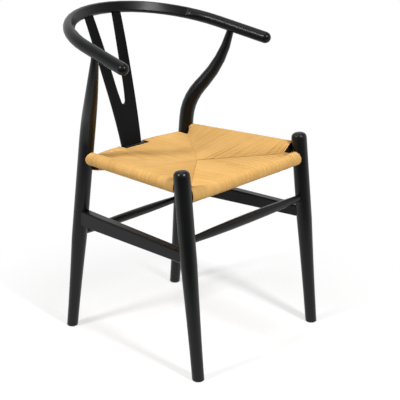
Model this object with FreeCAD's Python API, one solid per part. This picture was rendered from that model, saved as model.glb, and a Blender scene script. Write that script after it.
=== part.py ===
import FreeCAD, Part
import math
import os

V = FreeCAD.Vector
os.makedirs("parts", exist_ok=True)

# Wishbone chair, millimetres: +Z up, front at -Y, the sitter's left at +X, floor at z = 0.
# The left half is modelled and mirrored in the plane x = 0.

# Fits
FIT = 0.15            # glue line round every tenon and under every coped shoulder
MORTISE_FLOOR = 1.0   # room left below the end of a tenon
TENON_PAST = 4.0      # how far a tenon reaches past the axis of a leg
PIN = 40.0            # length of bar that a mortise tool covers, from the axis of the leg
CORD_GAP = 0.3        # slack between the cord and the rail it is wound on

# Front legs
FRONT_FOOT_X = 213.1
FRONT_FOOT_Y = -249.3
FRONT_TOP_X = 209.9
FRONT_TOP_Y = -199.0
FRONT_TOP_Z = 475.0
FRONT_LEG_R = 18.5
FRONT_FOOT_R = 13.7
FRONT_TAPER = 265.0   # length of the taper above the floor
DOME = 14.0           # height of the rounded top end
DOME_POWER = 2.5      # 2 would be an ellipse, more is squarer
FOOT_SPARE = 10.0     # length below the floor, cut off level
FOOT_LEVEL = 8.0      # the taper starts at this distance from the floor
SWELL_POWER = 1.5     # 1 would be a straight taper

# Rear legs: straight to the seat, then an S bend in one leaning plane
REAR_FOOT_X = 188.0
REAR_FOOT_Y = 181.0
REAR_OUT = V(0.6822, -0.7312, 0)            # level direction of the bend, outward and forward
REAR_UP = V(-0.0743, -0.0693, 0.9948)       # steepest direction in the plane of the bend
REAR_LEAN_LOW = math.radians(3.87)          # lean from REAR_UP, straight part
REAR_LEAN_MID = math.radians(40.75)         # between the two bends
REAR_LEAN_TOP = math.radians(12.7)          # under the bow
REAR_STRAIGHT = 468.7
REAR_BEND_LOW = 142.5                       # bend radius above the seat
REAR_MID = 15.6                             # straight length between the bends
REAR_BEND_HIGH = 283.9                      # bend radius below the bow
REAR_FOOT_R = 13.4
REAR_LEG_R = 18.1
REAR_TAPER = 234.0                          # length of the taper above the floor
REAR_NECK = 0.5                             # part of the radius lost between the seat and the bow
REAR_TENON_R = 7.5

# Bow: one bent round bar, arms and top rail, in a plane that rises to the back
BOW_R = 14.1
BOW_TIP_X = 245.9
BOW_TIP_Y = -66.0
BOW_TIP_Z = 680.2
BOW_RISE = math.radians(11.96)
BOW_FLARE = math.radians(9.03)      # arms opening to the front
BOW_ARM = 135.0                     # straight length of an arm
BOW_SIDE_R = 222.7
BOW_SIDE_TURN = math.radians(50.05)  # the rest of the quarter turn is the back arc
BOW_FLAT_START = 195.0              # distance from a tip along the bow to the flat inner face of the back
BOW_FLAT_DEPTH = 4.0                # depth of the flat in the round bar
BOW_FLAT_LEAN = math.radians(20)    # the flat leans back from upright

# Sections of bent, tapered and rounded bars
BEND_STEP = math.radians(7.5)
TAPER_CUTS = 4
SWELL_CUTS = 6
DOME_CUTS = 4
DOME_END = math.radians(84)

# Splat: a Y sawn from a curved board
SPLAT_T = 8.5
SPLAT_CURVE = ((395.0, 145.3), (500.0, 168.2), (600.0, 197.0), (700.0, 228.6), (760.0, 249.3))  # height, y
SPLAT_EDGE = ((405.0, 29.8), (500.0, 36.8), (600.0, 46.2), (700.0, 55.0), (760.0, 59.6))  # height, half width
SPLAT_FORK = ((533.0, 10.2), (550.0, 13.4), (600.0, 18.8), (700.0, 30.2), (760.0, 37.4))  # height, half gap
SPLAT_CROTCH = 11.0          # depth of the round bottom of the fork
SPLAT_TENON_T = 6.0
SPLAT_FOOT_TENON = 23.0      # half width of the tenon in the rear rail
SPLAT_FOOT_REACH = 6.0       # depth of that tenon below the rail's axis
SPLAT_ARM_TENON = (33.7, 51.5)   # sides of an arm's tenon
SPLAT_OVERLAP = 12.0         # length of a tenon inside the board

# Seat rails, round bars under the cord
RAIL_R = 12.0
RAIL_TENON_T = 10.0
RAIL_TENON_H = 16.0
RAIL_SHOULDER = 1.9   # distance of a rail's shoulder from the face of the leg
FRONT_RAIL_Z = 413.0
SIDE_RAIL_Z = 435.0
REAR_RAIL_Z = 414.0
REAR_RAIL_BOW = 17.5  # how far the middle of the rear rail stands behind its ends
REAR_SPANS = 4        # straight runs that follow that bend

# Stretchers
FRONT_STRETCHER_Z = 317.0
FRONT_STRETCHER_R = 11.5
REAR_STRETCHER_Z = 245.0
REAR_STRETCHER_R = 10.7
STRETCHER_TENON_R = 7.8
STRETCHER_SWELL = 2.2        # power of the swelling, 2 would be a parabola
SIDE_STRETCHER_LOW = 267.5
SIDE_STRETCHER_TOP_FRONT = 294.0
SIDE_STRETCHER_TOP_REAR = 306.0
SIDE_STRETCHER_T = 24.0
SIDE_STRETCHER_EASE = 4.0
SIDE_TENON_T = 9.0
SIDE_TENON_H = 17.0

# Cord seat: four panels of one cord, mitred to the corners
CORD = 3.1
SEAM_Y = -60.0        # where the four seams meet
SEAM_TOP = 426.5
SEAM_LOW = 413.5
FRONT_CORNER_Z = 427.5
REAR_CORNER_Z = 428.0
LEG_GAP = 1.0         # room between the end of a roll and a leg
DECK_DROP = 0.4       # the decks meet a roll this much inside its radius
SLOT_X = 41.0         # half width of the opening round the foot of the splat
SLOT_Y = 131.0        # front edge of that opening

# Tacks and glides
TACK_R = 0.8          # half side of the square shank
TACK_L = 9.0
TACK_HEAD_R = 2.6     # half side of the square head
TACK_HEAD_T = 0.8
TACK_AT = (0.14, 0.81)    # along a side rail, as a part of its length from the front
GLIDE_R = 11.0
GLIDE_T = 2.5
NAIL_R = 1.3          # half side of the square nail
NAIL_L = 14.0

# Points of the frame
FRONT_FOOT = V(FRONT_FOOT_X, FRONT_FOOT_Y, 0)
FRONT_TOP = V(FRONT_TOP_X, FRONT_TOP_Y, FRONT_TOP_Z)
REAR_FOOT = V(REAR_FOOT_X, REAR_FOOT_Y, 0)
BOW_TIP = V(BOW_TIP_X, BOW_TIP_Y, BOW_TIP_Z)


def aim(shape, start, toward):
    """Places a shape made along +Z from the origin at start, pointing at toward."""
    moved = shape.copy()
    moved.Placement = FreeCAD.Placement(start, FreeCAD.Rotation(V(0, 0, 1), toward - start))
    return moved


def rod(start, end, radius):
    """A round bar between two points."""
    return aim(Part.makeCylinder(radius, (end - start).Length), start, end)


def spike(half, length):
    """A square bar along +Z from the origin."""
    return Part.makeBox(2 * half, 2 * half, length, V(-half, -half, 0))


def smooth_edge(points):
    """A smooth curve through points."""
    curve = Part.BSplineCurve()
    curve.interpolate(points)
    return curve.toShape()


def steps(start, end, count):
    """Evenly spaced values from start to end."""
    return [start + (end - start) * i / count for i in range(count + 1)]


def blend(a, b, share):
    """Value or point a share of the way from a to b."""
    return a + (b - a) * share


def across(point):
    """The same point on the sitter's right."""
    return V(-point.x, point.y, point.z)


def mirrored(shape):
    """The sitter's right-hand copy of a left-hand shape."""
    return shape.mirror(V(0, 0, 0), V(1, 0, 0))


def largest(shape):
    """The biggest solid of a cut shape."""
    return max(shape.Solids, key=lambda solid: solid.Volume)


def joined(first, *others):
    """One solid from overlapping shapes."""
    return first.fuse(list(others)).removeSplitter()


def round_bar(stations, side):
    """A round bar through (point, heading, radius) stations, side is square to all headings."""
    rings = []
    for point, heading, radius in stations:
        ring = Part.makeCircle(radius)
        ring.Placement = FreeCAD.Placement(point, FreeCAD.Rotation(side, V(), heading, "ZXY"))
        rings.append(ring)
    faces = []
    for i in range(len(rings) - 1):
        if stations[i][1:] == stations[i + 1][1:]:
            faces += Part.makeLoft([Part.Wire(rings[i]), Part.Wire(rings[i + 1])], False, True).Faces
        else:
            faces.append(Part.makeRuledSurface(rings[i], rings[i + 1]))
    faces += [Part.Face(Part.Wire(ring)) for ring in (rings[0], rings[-1])]
    shell = Part.makeShell(faces)
    shell.sewShape()
    return Part.Solid(shell)


def mitred_bar(points, radius):
    """A round bar of straight runs, mitred at their corners."""
    ring = Part.Wire(Part.makeCircle(radius, points[0], points[1] - points[0]))
    return Part.makePolygon(points).makePipeShell([ring], True, False, 1)


def turned(start, end, profile):
    """A straight round bar from (distance, radius) marks along the line between two points."""
    heading = (end - start).normalize()
    side = heading.cross(V(0, 1, 0) if abs(heading.y) < abs(heading.x) + abs(heading.z) else V(1, 0, 0))
    return round_bar([(start + heading * distance, heading, radius) for distance, radius in profile], side)


def dome(radius, height, power):
    """(height, radius) marks of a rounded end, from its rim almost to its top."""
    turns = steps(0, DOME_END, DOME_CUTS)
    return [(height * math.sin(a) ** (2 / power), radius * math.cos(a) ** (2 / power)) for a in turns]


def travel(runs, lean, distance):
    """Sideways way, forward way and lean after a distance along runs of (length, turn)."""
    out, up = 0.0, 0.0
    for length, turn in runs:
        step = min(distance, length)
        half = turn * step / length / 2
        chord = step * math.sin(half) / half if half else step
        out += chord * math.sin(lean + half)
        up += chord * math.cos(lean + half)
        lean += 2 * half
        distance -= step
    return out, up, lean


def sections(runs):
    """Distances along runs that get a section: the ends of straight runs and steps in the bends."""
    marks = [0.0]
    for length, turn in runs:
        count = max(1, round(abs(turn) / BEND_STEP))
        marks += steps(marks[-1], marks[-1] + length, count)[1:]
    return marks


def swelling(foot_r, leg_r, length):
    """(distance, radius) marks of a leg that swells from its foot to its full radius."""
    marks = [(-FOOT_SPARE, foot_r)]
    for share in steps(0, 1, TAPER_CUTS):
        marks.append((blend(FOOT_LEVEL, length, share), blend(foot_r, leg_r, share ** SWELL_POWER)))
    return marks


# Front leg
def on_front_leg(height):
    """Point on the axis of the left front leg."""
    return blend(FRONT_FOOT, FRONT_TOP, height / FRONT_TOP.z)


def front_leg_body(grow):
    """Turned front leg without its joints, grow is added to the radius."""
    profile = swelling(FRONT_FOOT_R + grow, FRONT_LEG_R + grow, FRONT_TAPER)
    rim = (FRONT_TOP - FRONT_FOOT).Length - DOME
    profile += [(rim + up, radius) for up, radius in dome(FRONT_LEG_R + grow, DOME + grow, DOME_POWER)]
    return turned(FRONT_FOOT, FRONT_TOP, profile)


# Line of the bow
BOW_BACK = V(0, math.cos(BOW_RISE), math.sin(BOW_RISE))     # backward direction in the plane of the bow
BOW_INWARD = V(-1, 0, 0)
BOW_UP = BOW_BACK.cross(BOW_INWARD)
BOW_SIDE_RUNS = ((BOW_ARM, 0), (BOW_SIDE_R * BOW_SIDE_TURN, BOW_SIDE_TURN))
BOW_SIDE_END = travel(BOW_SIDE_RUNS, BOW_FLARE, BOW_ARM + BOW_SIDE_R * BOW_SIDE_TURN)
BOW_BACK_TURN = math.pi / 2 - BOW_SIDE_END[2]
BOW_BACK_R = (BOW_TIP.x - BOW_SIDE_END[0]) / math.cos(BOW_SIDE_END[2])
BOW_RUNS = BOW_SIDE_RUNS + ((BOW_BACK_R * BOW_BACK_TURN, BOW_BACK_TURN),)


def bow_point(distance):
    """Point and heading of the bow's axis at a distance from the left tip along it."""
    inward, back, lean = travel(BOW_RUNS, BOW_FLARE, distance)
    return (BOW_TIP + BOW_INWARD * inward + BOW_BACK * back,
            BOW_INWARD * math.sin(lean) + BOW_BACK * math.cos(lean))


BOW_MIDDLE = bow_point(sections(BOW_RUNS)[-1])[0]


# Rear leg
LOW_TURN = REAR_LEAN_MID - REAR_LEAN_LOW
HIGH_TURN = REAR_LEAN_TOP - REAR_LEAN_MID
REAR_RUNS = ((REAR_STRAIGHT, 0), (REAR_BEND_LOW * LOW_TURN, LOW_TURN), (REAR_MID, 0),
             (-REAR_BEND_HIGH * HIGH_TURN, HIGH_TURN), (REAR_STRAIGHT, 0))
REAR_BENT = sum(length for length, turn in REAR_RUNS[:-1])      # distance to the end of the upper bend


def rear_point(distance):
    """Point and heading of the left rear leg's axis at a distance from the floor along it."""
    out, up, lean = travel(REAR_RUNS, REAR_LEAN_LOW, distance)
    heading = REAR_OUT * math.sin(lean) + REAR_UP * math.cos(lean)
    return REAR_FOOT + REAR_OUT * out + REAR_UP * up, heading


def on_rear_leg(height):
    """Point on the straight part of the left rear leg's axis."""
    heading = rear_point(0)[1]
    return REAR_FOOT + heading * (height / heading.z)


def meeting(point, heading, other, other_heading):
    """Distance along a line to where it comes nearest to another line."""
    square = heading.cross(other_heading)
    return (other - point).cross(other_heading).dot(square) / square.dot(square)


REAR_TENON_END = REAR_BENT + meeting(*rear_point(REAR_BENT), *bow_point(0)) + TENON_PAST


def rear_leg_body(grow):
    """Bent rear leg without its joints, grow is added to the radius."""
    marks = swelling(REAR_FOOT_R + grow, REAR_LEG_R + grow, REAR_TAPER)
    bends = sections(REAR_RUNS[:-1])[1:]
    for distance in bends:
        neck = (distance - REAR_STRAIGHT) / (bends[-1] - REAR_STRAIGHT)
        marks.append((distance, REAR_LEG_R * (1 - REAR_NECK * neck * neck) + grow))
    marks.append((REAR_TENON_END, marks[-1][1]))
    stations = [rear_point(distance) + (radius,) for distance, radius in marks]
    return round_bar(stations, REAR_OUT.cross(REAR_UP))


# Bow
def bow_body(grow):
    """Bent round bar with rounded tips, without its joints and its hollow."""
    radius = BOW_R + grow
    tip, heading = bow_point(0)
    end = round_bar([(tip - heading * out, heading, r) for out, r in dome(radius, radius, 2)], BOW_UP)
    half = [bow_point(distance)[0] for distance in sections(BOW_RUNS)]
    bar = mitred_bar(half + [across(point) for point in half[-2::-1]], radius)
    return joined(bar, end, mirrored(end))


def bow_hollow():
    """Room in front of the flat inner face of the back, it runs out of the bar towards the arms."""
    marks = sections(BOW_RUNS)
    first = max(i for i, mark in enumerate(marks) if mark <= BOW_FLAT_START)
    half = [bow_point(distance)[0] for distance in marks[first:]]
    tilt = BOW_RISE + BOW_FLAT_LEAN
    half[0] += BOW_UP.cross(bow_point(marks[first])[1]) * (2 * BOW_FLAT_DEPTH / math.cos(tilt))
    inward = BOW_UP.cross((half[1] - half[0]).normalize())
    out = inward * math.cos(tilt) + BOW_UP * math.sin(tilt)
    side = (BOW_UP * math.cos(tilt) - inward * math.sin(tilt)) * BOW_R
    low = half[0] + out * (BOW_R - BOW_FLAT_DEPTH)
    high = low + out * BOW_R
    ring = Part.makePolygon([low - side, low + side, high + side, high - side, low - side])
    line = Part.makePolygon(half + [across(point) for point in half[-2::-1]])
    return line.makePipeShell([ring], True, False, 1)


# Splat
def splat_board(thickness):
    """Curved board that the splat is sawn from."""
    front = [V(0, y - thickness / 2, z) for z, y in SPLAT_CURVE]
    back = [point + V(0, thickness, 0) for point in front]
    outline = Part.Wire([smooth_edge(front), Part.makeLine(front[-1], back[-1]),
                         smooth_edge(back[::-1]), Part.makeLine(back[0], front[0])])
    half = 2 * SPLAT_EDGE[-1][1]
    return Part.Face(outline).extrude(V(2 * half, 0, 0)).translated(V(-half, 0, 0))


def sawn(edges, thickness):
    """The piece of a curved board inside an outline drawn in the plane XZ."""
    through = V(0, 2 * SPLAT_CURVE[-1][1], 0)
    return splat_board(thickness).common(Part.Face(Part.Wire(edges)).extrude(through))


def splat_outline():
    """Y outline: foot, outer edges, fork."""
    edge = [V(x, 0, z) for z, x in SPLAT_EDGE]
    fork = [V(x, 0, z) for z, x in SPLAT_FORK]
    half = [smooth_edge(edge), Part.makeLine(edge[-1], fork[-1]), smooth_edge(fork[::-1])]
    foot = Part.makeLine(across(edge[0]), edge[0])
    crotch = Part.Arc(fork[0], V(0, 0, fork[0].z - SPLAT_CROTCH), across(fork[0])).toShape()
    return Part.__sortEdges__([foot, crotch] + half + [mirrored(e) for e in half])


def rectangle(x0, x1, z0, z1):
    """Edges of a rectangle in the plane XZ."""
    corners = [V(x0, 0, z0), V(x1, 0, z0), V(x1, 0, z1), V(x0, 0, z1), V(x0, 0, z0)]
    return Part.makePolygon(corners).Edges


def splat_tenons(grow, floor):
    """Foot tenon and two arm tenons of the splat, floor lengthens them into their mortises."""
    thickness = SPLAT_TENON_T + 2 * grow
    half = SPLAT_FOOT_TENON + grow
    foot_top = REAR_RAIL_Z + RAIL_R + SPLAT_OVERLAP
    foot = sawn(rectangle(-half, half, REAR_RAIL_Z - SPLAT_FOOT_REACH - floor, foot_top), thickness)
    inner, outer = SPLAT_ARM_TENON
    arm_low = BOW_MIDDLE.z - BOW_R - SPLAT_OVERLAP
    arm = sawn(rectangle(inner - grow, outer + grow, arm_low, BOW_MIDDLE.z + floor), thickness)
    return [foot, arm, mirrored(arm)]


# Rails, stretchers and their joints
def toward(start, end, distance):
    """The point a distance from start on the way to end."""
    return start + (end - start).normalize() * distance


def round_mortise(axis_point, inward, radius):
    """Room for a round tenon in a leg, inward is a point on the axis of the bar."""
    end = toward(axis_point, inward, -TENON_PAST - MORTISE_FLOOR)
    return rod(end, toward(axis_point, inward, PIN), radius + FIT)


def flat_bar(start, end, thickness, height):
    """A level bar of upright rectangular section between two points."""
    bar = Part.makeBox(thickness, height, (end - start).Length, V(-thickness / 2, -height / 2, 0))
    bar.Placement = FreeCAD.Placement(start, FreeCAD.Rotation(V(), V(0, 0, 1), end - start, "ZYX"))
    return bar


def flat_tenon(axis_point, inward, thickness, height):
    """Flat tenon of a rail or board, from inside the leg to inside the bar."""
    start = toward(axis_point, inward, -TENON_PAST)
    return flat_bar(start, toward(axis_point, inward, PIN), thickness, height)


def flat_mortise(axis_point, inward, thickness, height):
    """Room for a flat tenon in a leg."""
    end = toward(axis_point, inward, -TENON_PAST - MORTISE_FLOOR)
    return flat_bar(end, toward(axis_point, inward, PIN), thickness + 2 * FIT, height + 2 * FIT)


def rail_tenon(axis_point, inward):
    """Tenon of a seat rail."""
    return flat_tenon(axis_point, inward, RAIL_TENON_T, RAIL_TENON_H)


def rail_mortise(axis_point, inward):
    """Room for the tenon of a seat rail in a leg."""
    return flat_mortise(axis_point, inward, RAIL_TENON_T, RAIL_TENON_H)


def seat_rail(start, start_leg_r, end, end_leg_r):
    """Straight round rail with a shouldered tenon at each end."""
    first = toward(start, end, start_leg_r + RAIL_SHOULDER)
    last = toward(end, start, end_leg_r + RAIL_SHOULDER)
    return joined(rod(first, last, RAIL_R), rail_tenon(start, end), rail_tenon(end, start))


def stretcher(end, leg_r, middle_r):
    """Turned stretcher, thickest in the middle, its ends are its tenons."""
    profile = [(-TENON_PAST, STRETCHER_TENON_R)]
    for share in steps(-1, 1, SWELL_CUTS):
        radius = blend(middle_r, STRETCHER_TENON_R, abs(share) ** STRETCHER_SWELL)
        profile.append((end.x + share * (end.x - leg_r), radius))
    profile.append((2 * end.x + TENON_PAST, STRETCHER_TENON_R))
    return turned(across(end), end, profile)


front_rail_end = on_front_leg(FRONT_RAIL_Z)
front_rail = seat_rail(across(front_rail_end), FRONT_LEG_R, front_rail_end, FRONT_LEG_R)
side_rail_front = on_front_leg(SIDE_RAIL_Z)
side_rail_rear = on_rear_leg(SIDE_RAIL_Z)
side_rail = seat_rail(side_rail_front, FRONT_LEG_R, side_rail_rear, REAR_LEG_R)
front_stretcher_end = on_front_leg(FRONT_STRETCHER_Z)
front_stretcher = stretcher(front_stretcher_end, FRONT_LEG_R, FRONT_STRETCHER_R)
rear_stretcher_end = on_rear_leg(REAR_STRETCHER_Z)
rear_stretcher = stretcher(rear_stretcher_end, REAR_LEG_R, REAR_STRETCHER_R)

# Rear seat rail, bent backward in the level plane
rear_rail_end = on_rear_leg(REAR_RAIL_Z)
REAR_RAIL_RADIUS = (rear_rail_end.x ** 2 + REAR_RAIL_BOW ** 2) / (2 * REAR_RAIL_BOW)
REAR_RAIL_CENTRE = rear_rail_end.y + REAR_RAIL_BOW - REAR_RAIL_RADIUS


def rear_rail_at(x):
    """Point on the rear rail's axis at a distance from the plane of symmetry."""
    return V(x, REAR_RAIL_CENTRE + math.sqrt(REAR_RAIL_RADIUS ** 2 - x * x), REAR_RAIL_Z)


rear_points = [rear_rail_at(rear_rail_end.x * share) for share in steps(-1, 1, REAR_SPANS)]
rear_inward = rear_points[-2]


def rear_bar(end, radius):
    """Bent round bar along the rear rail, from a left end on its last run to the same point on the right."""
    return mitred_bar([across(end)] + rear_points[1:-1] + [end], radius)


rear_tenon = rail_tenon(rear_rail_end, rear_inward)
rear_rail = rear_bar(toward(rear_rail_end, rear_inward, REAR_LEG_R + RAIL_SHOULDER), RAIL_R)
rear_rail = joined(rear_rail, rear_tenon, mirrored(rear_tenon))
rear_rail = rear_rail.cut(splat_tenons(FIT, MORTISE_FLOOR)[0])

# Side stretcher: a board with a level lower edge, coped to both legs
SIDE_STRETCHER_Z = (SIDE_STRETCHER_LOW + SIDE_STRETCHER_TOP_FRONT) / 2
board_front = on_front_leg(SIDE_STRETCHER_Z)
board_rear = on_rear_leg(SIDE_STRETCHER_Z)
board_run = V(board_rear.x - board_front.x, board_rear.y - board_front.y, 0).normalize()
board_way = V(board_run.y, -board_run.x, 0)


board_marks = [(board_front, SIDE_STRETCHER_LOW), (board_rear, SIDE_STRETCHER_LOW),
               (board_rear, SIDE_STRETCHER_TOP_REAR), (board_front, SIDE_STRETCHER_TOP_FRONT),
               (board_front, SIDE_STRETCHER_LOW)]
board_corners = [V(end.x, end.y, height) - board_way * (SIDE_STRETCHER_T / 2) for end, height in board_marks]
side_stretcher = Part.Face(Part.makePolygon(board_corners)).extrude(board_way * SIDE_STRETCHER_T)
board_length = (board_rear - board_front).Length
long_edges = [edge for edge in side_stretcher.Edges if edge.Length > board_length / 2]
side_stretcher = side_stretcher.makeFillet(SIDE_STRETCHER_EASE, long_edges)
side_stretcher = side_stretcher.cut([front_leg_body(FIT), rear_leg_body(FIT)])
side_stretcher = joined(largest(side_stretcher),
                        flat_tenon(board_front, board_rear, SIDE_TENON_T, SIDE_TENON_H),
                        flat_tenon(board_rear, board_front, SIDE_TENON_T, SIDE_TENON_H))

# Glides, nailed under the feet
glide = joined(Part.makeCylinder(GLIDE_R, GLIDE_T), spike(NAIL_R, NAIL_L))
nail_room = spike(NAIL_R + FIT, NAIL_L + MORTISE_FLOOR)


def leg_with_joints(body, foot, rooms):
    """A leg cut level above its glide, with its mortises."""
    slab = spike(2 * GLIDE_R, FOOT_SPARE + 2 * GLIDE_T).translated(foot - V(0, 0, FOOT_SPARE + GLIDE_T))
    return body.cut([slab, nail_room.translated(foot)] + rooms)


# Front leg with its mortises
front_leg = leg_with_joints(front_leg_body(0), FRONT_FOOT, [
    rail_mortise(front_rail_end, across(front_rail_end)),
    rail_mortise(side_rail_front, side_rail_rear),
    round_mortise(front_stretcher_end, across(front_stretcher_end), STRETCHER_TENON_R),
    flat_mortise(board_front, board_rear, SIDE_TENON_T, SIDE_TENON_H)])

# Rear leg with its mortises, and the round tenon under the arm of the bow
leg_top, leg_heading = rear_point(REAR_TENON_END)
pin_start = rear_point(REAR_TENON_END - PIN)[0]
bow_room = bow_body(FIT)
rear_leg = joined(largest(rear_leg_body(0).cut(bow_room)), rod(pin_start, leg_top, REAR_TENON_R))
rear_leg = leg_with_joints(rear_leg, REAR_FOOT, [
    rail_mortise(rear_rail_end, rear_inward),
    rail_mortise(side_rail_rear, side_rail_front),
    round_mortise(rear_stretcher_end, across(rear_stretcher_end), STRETCHER_TENON_R),
    flat_mortise(board_rear, board_front, SIDE_TENON_T, SIDE_TENON_H)])

# Bow with its hollow and its mortises
leg_room = rod(pin_start, leg_top + leg_heading * MORTISE_FLOOR, REAR_TENON_R + FIT)
bow = bow_body(0).cut([bow_hollow(), leg_room, mirrored(leg_room)] + splat_tenons(FIT, MORTISE_FLOOR)[1:])

# Splat between the rear rail and the bow
splat = sawn(splat_outline(), SPLAT_T).cut([bow_room, rear_bar(rear_rail_end, RAIL_R + FIT)])
splat = joined(largest(splat), *splat_tenons(0, 0))

# Cord panels: a roll round the rail and a deck to the seams, the crossing strands inside are filled
ROLL_R = RAIL_R + CORD_GAP + CORD
ROOM_R = RAIL_R + CORD_GAP
SIDE_ROLL_TOP = SIDE_RAIL_Z + ROLL_R
front_end = toward(front_rail_end, across(front_rail_end), FRONT_LEG_R + LEG_GAP)
rear_end = toward(rear_rail_end, rear_inward, REAR_LEG_R + LEG_GAP)
front_corner = V(front_end.x, on_front_leg(SIDE_ROLL_TOP).y + FRONT_LEG_R + LEG_GAP, FRONT_CORNER_Z)
rear_corner = V(rear_end.x, on_rear_leg(SIDE_ROLL_TOP).y - REAR_LEG_R - LEG_GAP, REAR_CORNER_Z)


def deck(rim):
    """Body of a panel from the middle of the seat to its rim, marks are (point on top, height below)."""
    tops = [V(0, SEAM_Y, SEAM_TOP)] + [top for top, low in rim]
    lows = [V(0, SEAM_Y, SEAM_LOW)] + [V(top.x, top.y, low) for top, low in rim]
    outlines = []
    for points in (tops, lows):
        outlines += [[points[0], points[i], points[i + 1]] for i in range(1, len(rim))]
    for i, top in enumerate(tops):
        outlines.append([top, tops[i - 1], lows[i - 1], lows[i]])
    faces = [Part.Face(Part.makePolygon(points + points[:1])) for points in outlines]
    shell = Part.makeShell(faces)
    shell.sewShape()
    return Part.Solid(shell)


def over(rail):
    """Rim mark of a deck that meets a roll above and below a rail's axis."""
    reach = ROLL_R - DECK_DROP
    return (rail + V(0, 0, reach), rail.z - reach)


def on_side_rail(y):
    """Point on the left seat rail's axis."""
    run = side_rail_rear - side_rail_front
    return side_rail_front + run * ((y - side_rail_front.y) / run.y)


def both_sides(half):
    """Rim marks of a whole panel from those of its left half."""
    return half + [(across(top), low) for top, low in half[::-1]]


front_panel = deck(both_sides([(front_corner, FRONT_RAIL_Z - ROLL_R + CORD), over(front_end)]))
front_panel = joined(front_panel, rod(across(front_end), front_end, ROLL_R))
front_panel = front_panel.cut(rod(across(front_rail_end), front_rail_end, ROOM_R))

rear_rim = [(rear_corner, REAR_RAIL_Z - ROLL_R + CORD)]
rear_rim += [over(point) for point in [rear_end] + rear_points[-2:REAR_SPANS // 2:-1]]
rear_panel = joined(deck(both_sides(rear_rim)), rear_bar(rear_end, ROLL_R))
slot = Part.makeBox(2 * SLOT_X, SLOT_Y, REAR_RAIL_Z, V(-SLOT_X, SLOT_Y, REAR_RAIL_Z / 2))
rear_panel = rear_panel.cut([rear_bar(rear_rail_end, ROOM_R), slot])

side_ends = [on_side_rail(front_corner.y), on_side_rail(rear_corner.y)]
side_low = SIDE_RAIL_Z - ROLL_R - CORD
side_panel = deck([(front_corner, side_low), over(side_ends[0]), over(side_ends[1]), (rear_corner, side_low)])
side_panel = joined(side_panel, rod(*side_ends, ROLL_R))
side_panel = side_panel.cut(rod(side_rail_front, side_rail_rear, ROOM_R))

# Tacks that hold the ends of the cord to the inner face of a side rail
tack = joined(spike(TACK_HEAD_R, TACK_HEAD_T), spike(TACK_R, TACK_L))
head_room = spike(TACK_HEAD_R + FIT, RAIL_R)
rail_run = side_rail_rear - side_rail_front
rail_inward = V(-rail_run.y, rail_run.x, 0).normalize()
tacks = []
for share in TACK_AT:
    axis_point = blend(side_rail_front, side_rail_rear, share)
    head = axis_point + rail_inward * (RAIL_R + TACK_HEAD_T + FIT)
    tacks.append(aim(tack, head, axis_point))
    side_rail = side_rail.cut(aim(spike(TACK_R + FIT, TACK_L + MORTISE_FLOOR), head, axis_point))
    side_panel = side_panel.cut(aim(head_room, head + rail_inward * FIT, axis_point))

pairs = {"front_leg": front_leg, "rear_leg": rear_leg, "seat_rail": side_rail,
         "side_stretcher": side_stretcher, "cord_panel": side_panel}
glides = [glide.translated(FRONT_FOOT), glide.translated(REAR_FOOT)]
nodes = {"bow": bow, "back_splat": splat, "front_seat_rail": front_rail, "rear_seat_rail": rear_rail,
         "front_stretcher": front_stretcher, "rear_stretcher": rear_stretcher,
         "front_cord_panel": front_panel, "rear_cord_panel": rear_panel,
         "foot_glides": Part.makeCompound(glides + [mirrored(shape) for shape in glides]),
         "cord_tacks": Part.makeCompound(tacks + [mirrored(shape) for shape in tacks])}
for name, shape in pairs.items():
    nodes["left_" + name] = shape
    nodes["right_" + name] = mirrored(shape)
for name, shape in nodes.items():
    shape.exportStep("parts/" + name + ".step")
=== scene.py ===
import math
import random

import bpy
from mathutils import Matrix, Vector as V


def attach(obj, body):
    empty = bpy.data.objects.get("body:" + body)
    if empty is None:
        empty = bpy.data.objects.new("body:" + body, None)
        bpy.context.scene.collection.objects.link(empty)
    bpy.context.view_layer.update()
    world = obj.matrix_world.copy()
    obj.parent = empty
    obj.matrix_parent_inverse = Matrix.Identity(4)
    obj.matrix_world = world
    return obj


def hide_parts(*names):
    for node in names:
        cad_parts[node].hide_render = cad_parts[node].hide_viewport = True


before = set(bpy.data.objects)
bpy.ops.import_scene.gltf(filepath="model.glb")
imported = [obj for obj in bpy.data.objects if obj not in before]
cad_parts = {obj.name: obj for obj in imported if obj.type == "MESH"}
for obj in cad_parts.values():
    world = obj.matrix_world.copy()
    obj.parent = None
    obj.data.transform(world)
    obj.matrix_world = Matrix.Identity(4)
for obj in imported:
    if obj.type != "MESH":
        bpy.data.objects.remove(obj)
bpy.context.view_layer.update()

scene = bpy.context.scene
scene.view_settings.view_transform = "Standard"
rng = random.Random(7)
MM = 0.001
FULL_TURN = 2 * math.pi
X_AXIS = V((1, 0, 0))
Y_AXIS = V((0, 1, 0))
WHITE = (1, 1, 1, 1)

# Camera
CAMERA_AT = (-2.0054, -1.79995, 1.19335)
CAMERA_TURN = (71.928, 0.0, -49.225)    # degrees
CAMERA_LENS = 106.54                    # millimetres
CAMERA_SENSOR = 36.0

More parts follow.
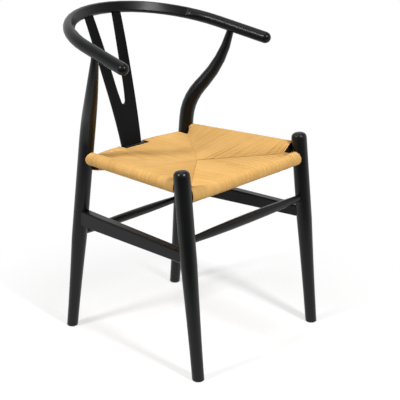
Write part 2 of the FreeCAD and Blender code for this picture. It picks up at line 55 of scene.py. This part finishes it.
# Seat, millimetres, in the frame of the CAD model
CORD = 3.1
PITCH = 3.17
CORD_WIDE = 1.60                        # half sizes of a pressed strand
CORD_HIGH = 1.50
RAIL_R = 12.0
RAIL_SLACK = 0.3
ROLL_R = RAIL_R + RAIL_SLACK + CORD / 2    # radius of the cord's middle round a rail
SEAM_Y = -60.0                          # where the seams meet, and the top and underside there
SEAM_TOP = 425.2
SEAM_LOW = 413.5
FRONT_SEAM_END = (164.0, -186.5, 428.0)    # x, y, z
REAR_SEAM_END = (157.4, 108.1, 428.0)
FRONT_RAIL = (-205.57, 413.0)           # y, z
FRONT_REACH = 190.8                     # half length of the front roll
BUNDLE_X = 151.0                        # outside this the front roll is wrapped without a deck
BUNDLE_FROM = 205.0                     # degrees round the front rail
BUNDLE_BACK = (160.0, 414.5)            # end of the wraps below the side panels, distance forward and z
BUNDLE_GAP = 0.3
PILE = 3.0                              # the wraps beside a front leg lie on others
PILE_REACH = 20.0
SIDE_RAIL_Z = 435.0
SIDE_RAIL_FRONT = (210.17, -203.24)     # x, y
SIDE_RAIL_REAR = (175.69, 129.07)
SIDE_FRONT_Y = -182.1                   # ends of the side rolls
SIDE_REAR_Y = 108.1
SIDE_LIFT = 2.0                         # a side strand lies over the ends of the front and rear ones
SIDE_FAN = 80.0                         # the strands this near a front leg lean towards the front roll
REAR_RAIL = ((0.0, 149.10), (88.14, 144.76), (176.28, 131.58))    # x, y
REAR_RAIL_Z = 414.0
SLOT_X = 41.0                           # half length of the slot for the splat
SLOT_Y = 131.0                          # its front edge
SLOT_GROOVE = 0.9                       # gap in the weave at its ends
SLOT_CROWN = 428.6                      # top of the strands at its edge
SLOT_BEND = 5.0
SLOT_ANGLES = (0, 25, 50, 75, 90)       # degrees of a strand's turn down at the slot
SLOT_DROP = 0.7                         # share of its way down where it turns forward
SLOT_TUCK = 3.0
HUG = 4.5                               # the last strands bulge round a leg
HUG_REACH = 38.0

# Undersides of the panels at their corners
SIDE_LOW = SIDE_RAIL_Z - ROLL_R - 1.5 * CORD
FRONT_LOW = FRONT_RAIL[1] - ROLL_R + CORD / 2
REAR_LOW = REAR_RAIL_Z - ROLL_R + CORD / 2

# A strand bends down into a seam over the length DIVE: shares of length, depth and width.
# A side strand is pinched there, and the front and rear strands run on below it.
DIVE = 5.0
DIVE_DEPTH = 4.5
PINCHED = ((0.04, 1.0, 0.4), (0.10, 0.3, 0.4), (0.40, 0.05, 0.5), (1.0, 0.0, 1.0))
UNDER = ((-0.8, 0.4, 1.0), (0.0, 0.1, 1.0), (0.5, 0.0, 1.0), (1.0, 0.0, 1.0))

# Below, a strand keeps a share of its fan, passes the seam by LAP with its end raised, and is wider.
LAP = 5.0
SIDE_BELOW = (0.0, 4.0, 1.0)            # fan, rise, width
FRONT_BELOW = (1.0, 0.5, 1.15)
REAR_BELOW = (0.0, 0.5, 1.1)

# Unevenness
GROUP_SIZES = (3, 6)                    # strands that lie close together at a seam
LOOSE_GAP = 2.0                         # widest gap between two groups
LOOSE_LEAST = 0.25                      # share of it that the narrowest gap has
PLAY = 0.10                             # waviness of a strand
PLAY_LONG = 0.09                        # radians of wave for each millimetre
PLAY_SHORT = 0.31
PLAY_HIGH = 0.07
PLAY_SHORT_SHARE = 0.6
PLAY_TURN = 6.28                        # a wave starts anywhere in about one turn
UNEVEN = 0.22                           # height of a strand above or below its neighbours

# Tubes
SIDES = 8
DECK_STEPS = 6
ROLL_STEPS = 10


def blend(a, b, share):
    """Value a share of the way from a to b."""
    return a + (b - a) * share


def leaving(a, z, centre, side):
    """Angle on a roll where a straight run to (a, z) leaves it, side is 1 on top and -1 below."""
    da, dz = a - centre[0], z - centre[1]
    return math.atan2(dz, da) - side * math.acos(ROLL_R / math.hypot(da, dz))


def leaving_below(a, z, centre):
    """The same angle below, counted on round the roll from its top."""
    return leaving(a, z, centre, -1) % FULL_TURN - FULL_TURN


def round_rail(centre, start, end, wide, pile=0.0):
    """Marks (a, z, fan, bulge, width) of a strand round a rail, lifted on top by turns piled below it."""
    marks = []
    for i in range(ROLL_STEPS + 1):
        angle = blend(start, end, i / ROLL_STEPS)
        out, up = math.cos(angle), math.sin(angle)
        high = centre[1] + ROLL_R * up + pile * max(0.0, up)
        marks.append((centre[0] + ROLL_R * out, high, 0.0, out * out, wide))
    return marks


def dived(seam, high, way):
    """Marks of a strand's way up out of a seam, way has shares of its length, depth and width."""
    return [(seam + along * DIVE, high - down * DIVE_DEPTH, 1.0, 0.0, width) for along, down, width in way]


def rising(below, share, low):
    """How a strand runs below, with its end brought up to the underside of the sides."""
    fan, rise, flat = below
    return fan, rise + blend(SEAM_LOW, SIDE_LOW, share) - low, flat


def wound(centre, seam, top, low, way, below, wide):
    """Marks of one strand: up out of the seam, over the deck, round the roll and back below."""
    fan, rise, flat = below
    high, deep = top - CORD / 2, low + CORD / 2
    start = leaving(seam, high, centre, 1) % FULL_TURN
    roll = round_rail(centre, start, leaving_below(seam, deep, centre), wide)
    marks = dived(seam, high, way)
    first, last = roll[0], roll[-1]
    edge = marks[-1]
    for i in range(1, DECK_STEPS):
        share = i / DECK_STEPS
        marks.append((blend(edge[0], first[0], share), blend(edge[1], first[1], share),
                      1.0 - share, 0.0, blend(1.0, wide, share)))
    marks += roll
    marks.append((blend(last[0], seam, 0.5), blend(last[1], deep, 0.5), 0.5 * fan, 0.0, wide * flat))
    marks.append((seam, deep, fan, 0.0, wide * flat))
    marks.append((seam - LAP, deep + rise, fan, 0.0, wide * flat))
    return marks


def turned_down(edge, seam, top, low, rise):
    """Marks of a strand in front of the splat, which turns down at the slot instead of round the rail."""
    high, deep = top - CORD / 2, low + CORD / 2
    crown = SLOT_CROWN - CORD / 2
    bend = edge - SLOT_BEND
    marks = dived(seam, high, UNDER)
    for i in range(1, DECK_STEPS):
        share = i / DECK_STEPS
        marks.append((blend(seam + DIVE, bend, share), blend(high, crown, share), 0.0, 0.0, 1.0))
    for degrees in SLOT_ANGLES:
        angle = math.radians(degrees)
        marks.append((bend + SLOT_BEND * math.sin(angle),
                      crown - SLOT_BEND + SLOT_BEND * math.cos(angle), 0.0, 0.0, 1.0))
    marks.append((edge, blend(crown, deep, SLOT_DROP), 0.0, 0.0, 1.0))
    for a in (edge - SLOT_TUCK, blend(edge, seam, 0.5), seam):
        marks.append((a, deep, 1.0, 0.0, 1.0))
    marks.append((seam - LAP, deep + rise, 1.0, 0.0, 1.0))
    return marks


class Strands:
    """One mesh of cord tubes."""

    def __init__(self, name):
        self.name = name
        self.points = []
        self.quads = []
        self.lengths = []
        self.tints = []

    def add(self, marks, place, across, fan, hug):
        """Adds a tube along marks, place turns (a, z) into a point, across is the sideways direction."""
        centres = [V(place(a, z)) + across * (fan * lean + hug * bulge) for a, z, lean, bulge, _ in marks]
        tint = rng.random()
        wave = rng.uniform(0, PLAY_TURN)
        lift = rng.uniform(-UNEVEN, UNEVEN)
        base = len(self.points)
        travelled = 0.0
        for i, centre in enumerate(centres):
            ahead = centres[min(i + 1, len(centres) - 1)] - centres[max(i - 1, 0)]
            ahead.normalize()
            out = ahead.cross(across)
            if i:
                travelled += (centre - centres[i - 1]).length
            long_wave = math.sin(travelled * PLAY_LONG + wave)
            short_wave = math.sin(travelled * PLAY_SHORT + 2 * wave)
            high_wave = math.sin(travelled * PLAY_HIGH + 3 * wave)
            wobble = PLAY * (long_wave + PLAY_SHORT_SHARE * short_wave)
            middle = centre + across * wobble + out * (lift + PLAY * high_wave)
            width = marks[i][-1]
            for k in range(SIDES):
                angle = FULL_TURN * k / SIDES
                spread = across * (CORD_WIDE * width * math.cos(angle))
                point = middle + spread + out * (CORD_HIGH * math.sin(angle))
                self.points.append(point * MM)
                self.lengths.append(travelled)
                self.tints.append(tint)
        for i in range(len(centres) - 1):
            for k in range(SIDES):
                a = base + i * SIDES + k
                b = base + i * SIDES + (k + 1) % SIDES
                self.quads.append((a, b, b + SIDES, a + SIDES))

    def build(self, material):
        """The tubes as an object with the cord's length, angle and tint on its mesh."""
        mesh = bpy.data.meshes.new(self.name)
        mesh.from_pydata(self.points, [], self.quads)
        lay = mesh.uv_layers.new(name="lay")
        for polygon in mesh.polygons:
            for corner, loop in enumerate(polygon.loop_indices):
                index = mesh.loops[loop].vertex_index
                turn = index % SIDES
                if corner in (1, 2) and turn == 0:
                    turn = SIDES
                lay.data[loop].uv = (self.lengths[index] * MM, turn / SIDES)
        tint = mesh.attributes.new("tint", "FLOAT", "POINT")
        tint.data.foreach_set("value", self.tints)
        mesh.shade_smooth()
        mesh.materials.append(material)
        thing = bpy.data.objects.new(self.name, mesh)
        scene.collection.objects.link(thing)
        return thing


def even(start, end, count):
    """Places of a number of strands laid evenly between two edges."""
    return [blend(start, end, (i + 0.5) / count) for i in range(count)]


def places(start, end):
    """Places of as many strands as fit evenly between two edges."""
    return even(start, end, int((end - start) / PITCH))


def closing(start, end, count):
    """Width that lets a number of evenly laid strands close the space between two edges."""
    return (end - start) / count / (2 * CORD_WIDE)


def grouped(start, end):
    """Strand places between two edges in tight groups with a gap after each."""
    groups = [1]
    gaps = []
    room = end - start - PITCH
    while room > PITCH:
        if groups[-1] < rng.randint(*GROUP_SIZES):
            groups[-1] += 1
            room -= 2 * CORD_WIDE
        else:
            gap = LOOSE_GAP * rng.uniform(LOOSE_LEAST, 1.0)
            gaps.append(gap)
            groups.append(1)
            room -= 2 * CORD_WIDE + gap
    marks = []
    at = CORD_WIDE
    for i, size in enumerate(groups):
        for number in range(size):
            marks.append(at)
            at += 2 * CORD_WIDE
        if i < len(gaps):
            at += gaps[i]
    stretch = (end - start) / (at - CORD_WIDE)
    return [start + mark * stretch for mark in marks]


def on_side_rail(y):
    """x of the left seat rail's axis."""
    share = (y - SIDE_RAIL_FRONT[1]) / (SIDE_RAIL_REAR[1] - SIDE_RAIL_FRONT[1])
    return blend(SIDE_RAIL_FRONT[0], SIDE_RAIL_REAR[0], share)


def on_rear_rail(x):
    """y of the rear seat rail's axis, which is bent in straight runs."""
    for near, far in zip(REAR_RAIL, REAR_RAIL[1:]):
        if abs(x) <= far[0]:
            return blend(near[1], far[1], (abs(x) - near[0]) / (far[0] - near[0]))
    return REAR_RAIL[-1][1]


def hugging(at, low_end, high_end):
    """Sideways bulge of a strand near the leg at either end of a roll."""
    below = max(0.0, 1 - (at - low_end) / HUG_REACH)
    above = max(0.0, 1 - (high_end - at) / HUG_REACH)
    return HUG * (above - below)


def side_panel(name, side, material):
    """Strands of the left (side 1) or right (side -1) panel: even round the rail, grouped at the seams."""
    strands = Strands(name)
    spots = grouped(SIDE_FRONT_Y, SIDE_REAR_Y)
    wide = closing(SIDE_FRONT_Y, SIDE_REAR_Y, len(spots))
    for y, spot in zip(even(SIDE_FRONT_Y, SIDE_REAR_Y, len(spots)), spots):
        fan = max(0.0, 1 - (y - SIDE_FRONT_Y) / SIDE_FAN) * (FRONT_SEAM_END[1] - SIDE_FRONT_Y)
        corner = FRONT_SEAM_END if y < SEAM_Y else REAR_SEAM_END
        lean = (spot - y) * (1 - ((y - SEAM_Y) / (corner[1] - SEAM_Y)) ** 2) + fan
        share = (y + lean - SEAM_Y) / (corner[1] - SEAM_Y)
        low = blend(SEAM_LOW, SIDE_LOW, share)
        top = blend(SEAM_TOP, corner[2], share) + SIDE_LIFT
        centre = (on_side_rail(y), SIDE_RAIL_Z)
        marks = wound(centre, corner[0] * share, top, low, PINCHED, SIDE_BELOW, wide)
        hug = hugging(y, SIDE_FRONT_Y, SIDE_REAR_Y)
        strands.add(marks, lambda a, z: (side * a, y, z), Y_AXIS, lean, hug)
    return strands.build(material)


def front_panel(name, material):
    """Strands of the front panel, from the front rail to the back, and the wraps beside its legs."""
    strands = Strands(name)
    centre = (-FRONT_RAIL[0], FRONT_RAIL[1])
    spread = FRONT_SEAM_END[0] / BUNDLE_X
    for x in places(-BUNDLE_X, BUNDLE_X):
        share = abs(x) / BUNDLE_X
        seam = -blend(SEAM_Y, FRONT_SEAM_END[1], share)
        top = blend(SEAM_TOP, FRONT_SEAM_END[2], share)
        low = blend(SEAM_LOW, FRONT_LOW, share)
        marks = wound(centre, seam, top, low, UNDER, rising(FRONT_BELOW, share, low), 1.0)
        strands.add(marks, lambda a, z: (x, -a, z), X_AXIS, x * (spread - 1), 0.0)
    start, end = math.radians(BUNDLE_FROM), leaving_below(*BUNDLE_BACK, centre)
    for x in places(BUNDLE_X + BUNDLE_GAP, FRONT_REACH):
        pile = PILE * min(1.0, (x - BUNDLE_X) / PILE_REACH)
        wrap = round_rail(centre, start, end, 1.0, pile) + [BUNDLE_BACK + (0.0, 0.0, 1.0)]
        for side in (1, -1):
            hug = side * hugging(x, -FRONT_REACH, FRONT_REACH)
            strands.add(wrap, lambda a, z: (side * x, -a, z), X_AXIS, 0.0, hug)
    return strands.build(material)


def rear_panel(name, material):
    """Strands of the rear panel, round the rear rail beside the splat and turned down in front of it."""
    strands = Strands(name)
    reach = REAR_SEAM_END[0]
    edges = ((-reach, -SLOT_X - SLOT_GROOVE), (-SLOT_X, SLOT_X), (SLOT_X + SLOT_GROOVE, reach))
    for left, right in edges:
        at_slot = right == SLOT_X
        spots = places(left, right) if at_slot else grouped(left, right)
        wide = closing(left, right, len(spots))
        for x, spot in zip(even(left, right, len(spots)), spots):
            share = abs(spot) / reach
            seam = blend(SEAM_Y, REAR_SEAM_END[1], share)
            top = blend(SEAM_TOP, REAR_SEAM_END[2], share)
            low = blend(SEAM_LOW, REAR_LOW, share)
            below = rising(REAR_BELOW, share, low)
            if at_slot:
                marks = turned_down(SLOT_Y - CORD / 2, seam, top, low, below[1])
                fan = x * SLOT_GROOVE / SLOT_X
            else:
                marks = wound((on_rear_rail(x), REAR_RAIL_Z), seam, top, low, UNDER, below, wide)
                fan = spot - x
            strands.add(marks, lambda a, z: (x, a, z), X_AXIS, fan, hugging(x, -reach, reach))
    return strands.build(material)


def new_material(name):
    """A material with its nodes, links and shader."""
    material = bpy.data.materials.new(name)
    material.use_nodes = True
    tree = material.node_tree
    return material, tree.nodes, tree.links, tree.nodes["Principled BSDF"]


def ramp(nodes, links, source, marks):
    """A colour ramp on a value, marks are (place, colour)."""
    node = nodes.new("ShaderNodeValToRGB")
    elements = node.color_ramp.elements
    for i, (place, colour) in enumerate(marks):
        element = elements[i] if i < 2 else elements.new(place)
        element.position = place
        element.color = tuple(colour) + (1,)
    links.new(source, node.inputs["Fac"])
    return node.outputs["Color"]


def own_place(nodes, links):
    """Place in the object's own metres."""
    return nodes.new("ShaderNodeTexCoord").outputs["Object"]


def calculated(nodes, links, operation, *values):
    """Result of a maths node on sockets and numbers."""
    node = nodes.new("ShaderNodeMath")
    node.operation = operation
    for i, value in enumerate(values):
        if isinstance(value, float):
            node.inputs[i].default_value = value
        else:
            links.new(value, node.inputs[i])
    return node.outputs["Value"]


def faded(nodes, links, value, start, end, first, last):
    """A value turned from first to last between start and end."""
    node = nodes.new("ShaderNodeMapRange")
    for name, number in (("From Min", start), ("From Max", end), ("To Min", first), ("To Max", last)):
        node.inputs[name].default_value = number
    links.new(value, node.inputs["Value"])
    return node.outputs["Result"]


def along_direction(nodes, links, place, direction):
    """How far a place lies along a fixed direction."""
    node = nodes.new("ShaderNodeVectorMath")
    node.operation = "DOT_PRODUCT"
    node.inputs[1].default_value = direction
    links.new(place, node.inputs[0])
    return node.outputs["Value"]


def seen_rays(nodes, links):
    """Rays from the camera and through glass, and rays from gloss: 1 or 0 each."""
    path = nodes.new("ShaderNodeLightPath").outputs
    direct = calculated(nodes, links, "MAXIMUM", path["Is Camera Ray"], path["Is Transmission Ray"])
    return direct, path["Is Glossy Ray"]


# The bow's bend in metres, for its grain
BOW_CENTRE_Y = 0.03
BOW_FLARE = 0.159                       # slopes of the arms, outward and up to the back
BOW_RISE = 0.212


def bent_place(nodes, links):
    """Place in the bow as if it were straight: across the bar, along it and above its plane."""
    split = nodes.new("ShaderNodeSeparateXYZ")
    links.new(own_place(nodes, links), split.inputs["Vector"])
    x, y, z = split.outputs
    back = calculated(nodes, links, "SUBTRACT", y, BOW_CENTRE_Y)
    bend = calculated(nodes, links, "MAXIMUM", back, 0.0)
    arm = calculated(nodes, links, "MINIMUM", back, 0.0)
    sideways = calculated(nodes, links, "MULTIPLY", x, x)
    square = calculated(nodes, links, "MULTIPLY_ADD", bend, bend, sideways)
    radius = calculated(nodes, links, "SQRT", square)
    across = calculated(nodes, links, "MULTIPLY_ADD", arm, BOW_FLARE, radius)
    height = calculated(nodes, links, "MULTIPLY_ADD", y, -BOW_RISE, z)
    place = nodes.new("ShaderNodeCombineXYZ")
    for value, socket in zip((across, y, height), place.inputs):
        links.new(value, socket)
    return place.outputs["Vector"]


def stretched_noise(nodes, links, stretch, scale, detail, place=own_place):
    """Noise at a place, stretched by a scale for each axis."""
    mapping = nodes.new("ShaderNodeMapping")
    mapping.inputs["Scale"].default_value = stretch
    noise = nodes.new("ShaderNodeTexNoise")
    noise.inputs["Scale"].default_value = scale
    noise.inputs["Detail"].default_value = detail
    links.new(place(nodes, links), mapping.inputs["Vector"])
    links.new(mapping.outputs["Vector"], noise.inputs["Vector"])
    return noise.outputs["Fac"]


def add_bump(nodes, links, shader, height, strength, distance):
    """Bump from a height value."""
    bump = nodes.new("ShaderNodeBump")
    bump.inputs["Strength"].default_value = strength
    bump.inputs["Distance"].default_value = distance
    links.new(height, bump.inputs["Height"])
    links.new(bump.outputs["Normal"], shader.inputs["Normal"])


# Materials: a noise has a scale and a detail, a bump has a strength and a depth in metres
EVEN_STRETCH = (1, 1, 1)
GRAIN_UP = (14, 14, 0.7)
GRAIN_ACROSS = (0.7, 14, 14)
GRAIN_BACK = (14, 0.7, 14)
GRAIN_NOISE = (60.0, 4.0)
GRAIN_BUMP = (0.05, 0.0002)
LACQUER_NOISE = (9.0, 3.0)
BLACK_MARKS = ((0.3, (0.0022, 0.0024, 0.0027)), (0.7, (0.0036, 0.0038, 0.0043)))
SATIN_MARKS = ((0.35, (0.29, 0.29, 0.29)), (0.65, (0.35, 0.35, 0.35)))
# One lacquer on every piece, with its gloss set apart for each: the lower gloss of the stretchers, boards,
# bow and splat paints shade on them as darker reflections
LEG_GLOSS = 0.30
STRETCHER_GLOSS = 0.25
BOARD_GLOSS = 0.22
BOW_GLOSS = 0.19
SPLAT_SHADE_GLOSS = 0.08                       # the splat's gloss is the lowest, which paints the most shade on it
TWISTS = 260.0                          # turns of the cord's two plies for each metre
PLIES = 2
TINT_SHARE = 0.36                       # share of the strand's own tint in the colour, the rest is cloudy
TAN_MARKS = ((0.25, (0.585, 0.335, 0.100)), (0.5, (0.64, 0.378, 0.120)), (0.75, (0.69, 0.42, 0.145)))
TWIST_BUMP = (0.35, 0.0003)
CORD_NOISE = (14.0, 4.0)
CORD_ROUGH = 0.72
CORD_GLOSS = 0.2
CORD_SHEEN = 0.05
NYLON_NOISE = (900.0, 2.0)
NYLON_MARKS = ((0.3, (0.30, 0.30, 0.31)), (0.7, (0.38, 0.38, 0.39)))
NYLON_ROUGH = 0.55
NYLON_BUMP = (0.2, 0.0002)
STEEL_STRETCH = (1, 1, 12)
STEEL_NOISE = (400.0, 2.0)
STEEL_MARKS = ((0.3, (0.38, 0.38, 0.40)), (0.7, (0.52, 0.52, 0.54)))
STEEL_ROUGH = 0.4
STEEL_BUMP = (0.1, 0.0001)


def lacquer(name, stretch, gloss, place=own_place):
    """Black satin lacquer over wood whose grain follows the axis with the least stretch."""
    material, nodes, links, shader = new_material(name)
    cloud = stretched_noise(nodes, links, EVEN_STRETCH, *LACQUER_NOISE)
    grain = stretched_noise(nodes, links, stretch, *GRAIN_NOISE, place)
    links.new(ramp(nodes, links, cloud, BLACK_MARKS), shader.inputs["Base Color"])
    links.new(ramp(nodes, links, cloud, SATIN_MARKS), shader.inputs["Roughness"])
    shader.inputs["Specular IOR Level"].default_value = gloss
    add_bump(nodes, links, shader, grain, *GRAIN_BUMP)
    return material


def paper_cord(name):
    """Twisted paper cord: golden tan, paler and darker strands, a helical lay along each."""
    material, nodes, links, shader = new_material(name)
    uv = nodes.new("ShaderNodeUVMap")
    uv.uv_map = "lay"
    split = nodes.new("ShaderNodeSeparateXYZ")
    links.new(uv.outputs["UV"], split.inputs["Vector"])
    turns = calculated(nodes, links, "MULTIPLY_ADD", split.outputs["X"], TWISTS, split.outputs["Y"])
    angle = calculated(nodes, links, "MULTIPLY", turns, PLIES * FULL_TURN)
    wave = calculated(nodes, links, "SINE", angle)
    tint = nodes.new("ShaderNodeAttribute")
    tint.attribute_name = "tint"
    cloud = stretched_noise(nodes, links, EVEN_STRETCH, *CORD_NOISE)
    cloudy = calculated(nodes, links, "MULTIPLY", cloud, 1.0 - TINT_SHARE)
    mixed = calculated(nodes, links, "MULTIPLY_ADD", tint.outputs["Fac"], TINT_SHARE, cloudy)
    links.new(ramp(nodes, links, mixed, TAN_MARKS), shader.inputs["Base Color"])
    shader.inputs["Roughness"].default_value = CORD_ROUGH
    shader.inputs["Specular IOR Level"].default_value = CORD_GLOSS
    shader.inputs["Sheen Weight"].default_value = CORD_SHEEN
    add_bump(nodes, links, shader, wave, *TWIST_BUMP)
    return material


def moulded(name):
    """Grey nylon with a fine moulded texture."""
    material, nodes, links, shader = new_material(name)
    grain = stretched_noise(nodes, links, EVEN_STRETCH, *NYLON_NOISE)
    links.new(ramp(nodes, links, grain, NYLON_MARKS), shader.inputs["Base Color"])
    shader.inputs["Roughness"].default_value = NYLON_ROUGH
    add_bump(nodes, links, shader, grain, *NYLON_BUMP)
    return material


def steel(name):
    """Dull brushed steel."""
    material, nodes, links, shader = new_material(name)
    brushed = stretched_noise(nodes, links, STEEL_STRETCH, *STEEL_NOISE)
    links.new(ramp(nodes, links, brushed, STEEL_MARKS), shader.inputs["Base Color"])
    shader.inputs["Metallic"].default_value = 1.0
    shader.inputs["Roughness"].default_value = STEEL_ROUGH
    add_bump(nodes, links, shader, brushed, *STEEL_BUMP)
    return material


# Looks of the wooden pieces, glides and tacks
WELD = 0.02 * MM
ARRIS = math.radians(32)                # edges sharper than this stay sharp
# Copies of one lacquer with their own grain; their different gloss paints shade on every piece but the
# legs
lacquers = {"up": lacquer("lacquer_up", GRAIN_UP, LEG_GLOSS),
            "across": lacquer("lacquer_across", GRAIN_ACROSS, STRETCHER_GLOSS),
            "back": lacquer("lacquer_back", GRAIN_BACK, BOARD_GLOSS),
            "bent": lacquer("lacquer_bent", GRAIN_BACK, BOW_GLOSS, bent_place),
            "splat_shade": lacquer("lacquer_splat_shade", GRAIN_UP, SPLAT_SHADE_GLOSS)}
grains = {"bow": "bent", "back_splat": "splat_shade",
          "left_front_leg": "up", "right_front_leg": "up",
          "left_rear_leg": "up", "right_rear_leg": "up",
          "left_seat_rail": "back", "right_seat_rail": "back",
          "front_seat_rail": "across", "rear_seat_rail": "across",
          "front_stretcher": "across", "rear_stretcher": "across",
          "left_side_stretcher": "back", "right_side_stretcher": "back"}
dressed = {node: lacquers[grain] for node, grain in grains.items()}
dressed["foot_glides"] = moulded("glide_nylon_look")
dressed["cord_tacks"] = steel("tack_steel_look")
for node, material in dressed.items():
    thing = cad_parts[node]
    thing.data.materials[0] = material
    for polygon in thing.data.polygons:
        polygon.use_smooth = True
    weld = thing.modifiers.new("weld", "WELD")
    weld.merge_threshold = WELD
    arris = thing.modifiers.new("arris", "EDGE_SPLIT")
    arris.split_angle = ARRIS
    arris.use_edge_sharp = False
    normals = thing.modifiers.new("normals", "WEIGHTED_NORMAL")
    normals.keep_sharp = True

cord = paper_cord("paper_cord_look")
for thing, node in ((side_panel("left_cord_strands", 1, cord), "left_cord_panel"),
                    (side_panel("right_cord_strands", -1, cord), "right_cord_panel"),
                    (front_panel("front_cord_strands", cord), "front_cord_panel"),
                    (rear_panel("rear_cord_strands", cord), "rear_cord_panel")):
    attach(thing, "root")
    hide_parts(node)

# Floor: pale, seen almost white, with the chair's soft shadow
FLOOR_HALF = 12.0
FLOOR_SEEN = 0.96                       # paleness where it is seen
FLOOR_BOUNCE = 0.55                     # paleness as it lights the chair from below
FLOOR_GLOW = 0.50                       # share of plain white near the chair, the rest shows the shadow
FLOOR_WHITE = 1.12                      # brightness of that share, which makes up for the shaded rest
FLOOR_SHADE_R = 0.34                    # metres from the middle where the shade starts and ends to fade
FLOOR_WHITE_R = 0.72
FLOOR_ROUGH = 0.9
FLOOR_GLOSS = 0.1
DARK_SIDE = (-0.74, -0.67, 0.0)         # side of the studio that the wood mirrors as dark
DARK_FROM = 0.75                        # metres towards that side where the mirrored floor falls off
DARK_TO = 1.1
DARK_LEFT = 0.05
floor_mesh = bpy.data.meshes.new("floor")
floor_mesh.from_pydata([(-FLOOR_HALF, -FLOOR_HALF, 0), (FLOOR_HALF, -FLOOR_HALF, 0),
                        (FLOOR_HALF, FLOOR_HALF, 0), (-FLOOR_HALF, FLOOR_HALF, 0)], [], [(0, 1, 2, 3)])
floor = bpy.data.objects.new("floor", floor_mesh)
scene.collection.objects.link(floor)

floor_material, nodes, links, shader = new_material("floor")
direct, mirrored = seen_rays(nodes, links)
pale = calculated(nodes, links, "MULTIPLY_ADD", direct, FLOOR_SEEN - FLOOR_BOUNCE, FLOOR_BOUNCE)
links.new(pale, shader.inputs["Base Color"])
shader.inputs["Roughness"].default_value = FLOOR_ROUGH
shader.inputs["Specular IOR Level"].default_value = FLOOR_GLOSS
place = own_place(nodes, links)
distance = nodes.new("ShaderNodeVectorMath")
distance.operation = "LENGTH"
links.new(place, distance.inputs[0])
distance = distance.outputs["Value"]
share = faded(nodes, links, distance, FLOOR_SHADE_R, FLOOR_WHITE_R, FLOOR_GLOW, 1.0)
share = calculated(nodes, links, "MULTIPLY", share, direct)
share = calculated(nodes, links, "MAXIMUM", share, mirrored)
glow = faded(nodes, links, distance, FLOOR_SHADE_R, FLOOR_WHITE_R, FLOOR_WHITE, 1.0)
forward = along_direction(nodes, links, place, DARK_SIDE)
sheen = faded(nodes, links, forward, DARK_FROM, DARK_TO, 1.0, DARK_LEFT)
change = calculated(nodes, links, "SUBTRACT", sheen, glow)
glow = calculated(nodes, links, "MULTIPLY_ADD", change, mirrored, glow)
white = nodes.new("ShaderNodeEmission")
white.inputs["Color"].default_value = WHITE
links.new(glow, white.inputs["Strength"])
mix = nodes.new("ShaderNodeMixShader")
links.new(share, mix.inputs["Fac"])
links.new(shader.outputs["BSDF"], mix.inputs[1])
links.new(white.outputs["Emission"], mix.inputs[2])
links.new(mix.outputs["Shader"], nodes["Material Output"].inputs["Surface"])
floor_mesh.materials.append(floor_material)

# World: soft light from all round, and a white wall and curtain where they are seen or mirrored
WORLD_LIGHT = 0.25
WALL_WHITE = 1.0 - WORLD_LIGHT
WALL_TOP = 0.20                         # sines of the elevations where the wall starts and ends to fade
WALL_END = 0.40
CURTAIN_FULL = 0.50                     # cosines from the far side where a curtain starts and ends to fade
CURTAIN_TOP = 0.10
DIM_FROM = 0.35                         # cosines from the dark side where the mirrored wall falls off
DIM_TO = 0.80
world = bpy.data.worlds.new("studio")
world.use_nodes = True
scene.world = world
nodes, links = world.node_tree.nodes, world.node_tree.links
backdrop = nodes["Background"]
backdrop.inputs["Color"].default_value = WHITE
place = nodes.new("ShaderNodeTexCoord").outputs["Generated"]
split = nodes.new("ShaderNodeSeparateXYZ")
links.new(place, split.inputs["Vector"])
wall = faded(nodes, links, split.outputs["Z"], WALL_TOP, WALL_END, WALL_WHITE, 0.0)
forward = along_direction(nodes, links, place, DARK_SIDE)
curtain = faded(nodes, links, forward, -CURTAIN_FULL, -CURTAIN_TOP, WALL_WHITE, 0.0)
wall = calculated(nodes, links, "MAXIMUM", wall, curtain)
direct, mirrored = seen_rays(nodes, links)
lit = faded(nodes, links, forward, DIM_FROM, DIM_TO, 1.0, 0.0)
mirrored = calculated(nodes, links, "MULTIPLY", mirrored, lit)
seen = calculated(nodes, links, "MAXIMUM", direct, mirrored)
links.new(calculated(nodes, links, "MULTIPLY_ADD", wall, seen, WORLD_LIGHT), backdrop.inputs["Strength"])

# Lamps: name, place, width and height in metres, and power in watts
LAMPS = (("side", (-2.95, 0.5, 2.8), 0.65, 0.65, 88),
         ("front", (-0.6, -2.95, 2.8), 0.5, 1.0, 112),
         ("top", (-0.3, 0.1, 3.4), 1.6, 1.6, 18))
LAMP_AIM = V((0, 0, 0.45))
for name, at, wide, high, power in LAMPS:
    lamp = bpy.data.lights.new(name, "AREA")
    lamp.shape = "RECTANGLE"
    lamp.size = wide
    lamp.size_y = high
    lamp.energy = power
    thing = bpy.data.objects.new(name, lamp)
    thing.location = at
    thing.rotation_euler = (LAMP_AIM - V(at)).to_track_quat("-Z", "Y").to_euler()
    scene.collection.objects.link(thing)

camera = bpy.data.objects.new("camera", bpy.data.cameras.new("camera"))
camera.data.sensor_width = CAMERA_SENSOR
camera.data.lens = CAMERA_LENS
camera.location = CAMERA_AT
camera.rotation_euler = [math.radians(a) for a in CAMERA_TURN]
scene.collection.objects.link(camera)
scene.camera = camera
